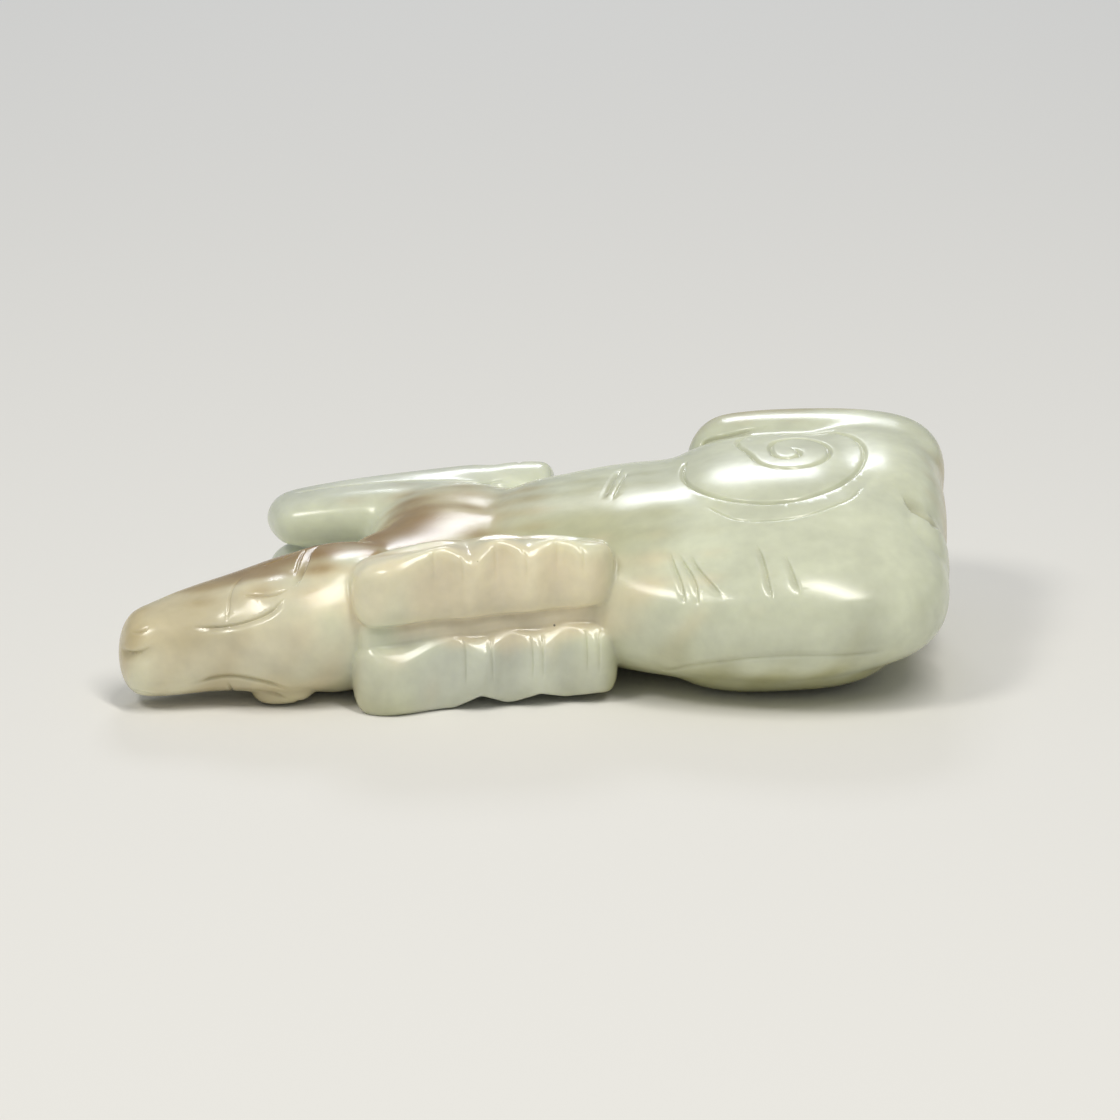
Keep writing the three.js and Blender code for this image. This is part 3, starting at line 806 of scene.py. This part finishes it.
def carve_deer(sizes, colours):
    """The finished carving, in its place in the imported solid's frame."""
    stone = build_stone(sizes.grain / MM, sizes.softness / MM)
    mesh = stone.data
    set_corners(mesh, relaxed(corner_array(mesh), neighbour_table(mesh), FUSED_ROUNDS, SMOOTH_SHARE))
    tree = BVHTree.FromObject(stone, bpy.context.evaluated_depsgraph_get())
    cuts = [(widths, *laid_on(tree, line)) for widths, line in all_cuts()]
    split_near(stone, cut_depth(corner_array(mesh), corner_normals(mesh), cuts, CUT_MARGIN) > 0)
    points = relaxed(corner_array(mesh), neighbour_table(mesh), SPLIT_ROUNDS, SMOOTH_SHARE)
    set_corners(mesh, points)
    normals = corner_normals(mesh)
    points = points - normals * cut_depth(points, normals, cuts)[:, None]
    points[:, 2] = np.maximum(points[:, 2], 0)
    set_corners(mesh, inside_box(placed(points)))
    thin = stone.modifiers.new("thin", "DECIMATE")
    thin.ratio = min(1, sizes.triangles / (2 * len(stone.data.polygons)))
    thin.use_collapse_triangulate = True
    applied(stone)
    stone.data.validate()
    stone.data.shade_smooth()
    colour_skin(stone.data, cuts, colours)
    stone.name = stone.data.name = "jade_deer_carving"
    stone.data.materials.clear()
    stone.data.materials.append(polished_jade())
    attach(stone, "root")
    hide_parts("jade_deer")
    return stone


def studio_light(name, place, size, watts, code):
    """A soft rectangular light that faces the deer."""
    data = bpy.data.lights.new(name, "AREA")
    data.shape = "RECTANGLE"
    data.size, data.size_y = size
    data.energy = watts
    data.color = linear(code)
    light = bpy.data.objects.new(name, data)
    light.location = place
    light.rotation_euler = (-Vector(place)).to_track_quat("-Z", "Y").to_euler()
    bpy.context.scene.collection.objects.link(light)
    return light


def studio(look):
    """The pale floor, the soft lights and the camera."""
    scene = bpy.context.scene
    mesh = bpy.data.meshes.new("studio_floor")
    corners = [(x * FLOOR_HALF, y * FLOOR_HALF, 0) for x, y in ((-1, -1), (1, -1), (1, 1), (-1, 1))]
    mesh.from_pydata(corners, [], [(0, 1, 2, 3)])
    floor = bpy.data.objects.new("studio_floor", mesh)
    scene.collection.objects.link(floor)
    material = bpy.data.materials.new("pale_paper")
    material.use_nodes = True
    shader = material.node_tree.nodes["Principled BSDF"]
    shader.inputs["Base Color"].default_value = (*look.floor, 1)
    shader.inputs["Roughness"].default_value = PAPER_ROUGHNESS
    mesh.materials.append(material)
    world = bpy.data.worlds.new("studio_room")
    world.use_nodes = True
    world.node_tree.nodes["Background"].inputs["Color"].default_value = (*look.room, 1)
    world.node_tree.nodes["Background"].inputs["Strength"].default_value = look.room_light
    scene.world = world
    lights = [studio_light(*light) for light in STUDIO_LIGHTS]
    scene.view_settings.view_transform = "Standard"
    camera_data = bpy.data.cameras.new("photograph_view")
    camera_data.sensor_width = CAMERA_SENSOR
    camera_data.lens = CAMERA_LENS
    camera_data.clip_start = CAMERA_NEAREST
    camera = bpy.data.objects.new("photograph_view", camera_data)
    back_along = np.array([0, -math.cos(CAMERA_PITCH), math.sin(CAMERA_PITCH)])
    camera.location = placed(CAMERA_AIM + CAMERA_DISTANCE * back_along)
    camera.rotation_euler = (math.pi / 2 - CAMERA_PITCH, 0, 0)
    scene.collection.objects.link(camera)
    scene.camera = camera


class JadeDeerSizes(bpy.types.PropertyGroup):
    """How finely and how softly the deer is carved."""
    grain: bpy.props.FloatProperty(
        name="Grain", description="Spacing of the points on the carved skin before it is thinned",
        default=0.12 * MM, min=0.05 * MM, max=MM, precision=5, subtype="DISTANCE", unit="LENGTH")
    softness: bpy.props.FloatProperty(
        name="Softness", description="Reach over which the body's masses flow into one another",
        default=0.8 * MM, min=0, max=3 * MM, precision=5, subtype="DISTANCE", unit="LENGTH")
    triangles: bpy.props.IntProperty(
        name="Triangles", description="Most triangles in the finished skin", default=192000, min=20000,
        max=199000)


class JadeDeerColours(bpy.types.PropertyGroup):
    """The stone's colours, and the colours of its painted shade near the table and in the cuts."""
    celadon: bpy.props.FloatVectorProperty(
        name="Celadon", description="The stone's own pale green", size=3, subtype="COLOR", min=0, max=1,
        default=linear("#D6DAC3"))
    cream: bpy.props.FloatVectorProperty(
        name="Cream", description="The upper antler's warmer stone", size=3, subtype="COLOR", min=0,
        max=1, default=linear("#EADFC2"))
    cool: bpy.props.FloatVectorProperty(
        name="Cool", description="The greyer stone of the lower antler and the forelegs", size=3,
        subtype="COLOR", min=0, max=1, default=linear("#D5D9CC"))
    tan: bpy.props.FloatVectorProperty(
        name="Tan", description="Lightly stained stone", size=3, subtype="COLOR", min=0, max=1,
        default=linear("#BDAA7C"))
    russet: bpy.props.FloatVectorProperty(
        name="Russet", description="The stained skin on the head, the ear and the neck", size=3,
        subtype="COLOR", min=0, max=1, default=linear("#90703A"))
    # Partly the stone's own tone, partly painted shade: darker near the table.
    olive_and_shade: bpy.props.FloatVectorProperty(
        name="Olive", description="The deeper stone near the table", size=3, subtype="COLOR", min=0,
        max=1, default=linear("#B4B17E"))
    # Painted shade in the cuts, which are darkened towards this colour.
    cut_shade: bpy.props.FloatVectorProperty(
        name="Crevice", description="The cuts, where old polish and dirt stay", size=3, subtype="COLOR",
        min=0, max=1, default=linear("#A8A480"))


class JadeDeerStudio(bpy.types.PropertyGroup):
    """The floor's and the room's colours."""
    floor: bpy.props.FloatVectorProperty(
        name="Floor", description="The pale paper under the deer", size=3, subtype="COLOR", min=0, max=1,
        default=linear("#E6E5E2"))
    room: bpy.props.FloatVectorProperty(
        name="Room", description="The light from the room all round", size=3, subtype="COLOR", min=0,
        max=1, default=linear("#E8ECF0"))
    room_light: bpy.props.FloatProperty(
        name="Room light", description="Strength of the light from all round", default=0.34, min=0, max=5)


class OBJECT_OT_carve_jade_deer(bpy.types.Operator):
    """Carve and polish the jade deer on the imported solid's place."""
    bl_idname = "object.carve_jade_deer"
    bl_label = "Carve jade deer"

    def execute(self, context):
        carve_deer(context.scene.jade_deer_sizes, context.scene.jade_deer_colours)
        return {"FINISHED"}


class OBJECT_OT_light_jade_deer(bpy.types.Operator):
    """Lay the pale floor, and set the soft lights and the camera."""
    bl_idname = "object.light_jade_deer"
    bl_label = "Set up the studio"

    def execute(self, context):
        studio(context.scene.jade_deer_studio)
        return {"FINISHED"}


class VIEW3D_PT_jade_deer(bpy.types.Panel):
    """Lists the carving's sizes, colours and operators."""
    bl_label = "Jade deer"
    bl_idname = "VIEW3D_PT_jade_deer"
    bl_space_type = "VIEW_3D"
    bl_region_type = "UI"
    bl_category = "Jade deer"

    def draw(self, context):
        for group in GROUPS:
            settings = getattr(context.scene, group)
            for name in settings.__annotations__:
                self.layout.prop(settings, name)
        for operator in OPERATORS:
            self.layout.operator(operator.bl_idname)


GROUPS = {"jade_deer_sizes": JadeDeerSizes, "jade_deer_colours": JadeDeerColours,
          "jade_deer_studio": JadeDeerStudio}
OPERATORS = [OBJECT_OT_carve_jade_deer, OBJECT_OT_light_jade_deer]


def register():
    """Makes the settings, the operators and the panel known to the program."""
    for kind in (*GROUPS.values(), *OPERATORS, VIEW3D_PT_jade_deer):
        bpy.utils.register_class(kind)
    for name, kind in GROUPS.items():
        setattr(bpy.types.Scene, name, bpy.props.PointerProperty(type=kind))


def unregister():
    """Takes away what register made."""
    for name in GROUPS:
        delattr(bpy.types.Scene, name)
    for kind in (VIEW3D_PT_jade_deer, *reversed(OPERATORS), *reversed(GROUPS.values())):
        bpy.utils.unregister_class(kind)


def main():
    """Carves the deer and sets up the studio."""
    register()
    bpy.ops.object.carve_jade_deer()
    bpy.ops.object.light_jade_deer()


if __name__ == "__main__":
    main()
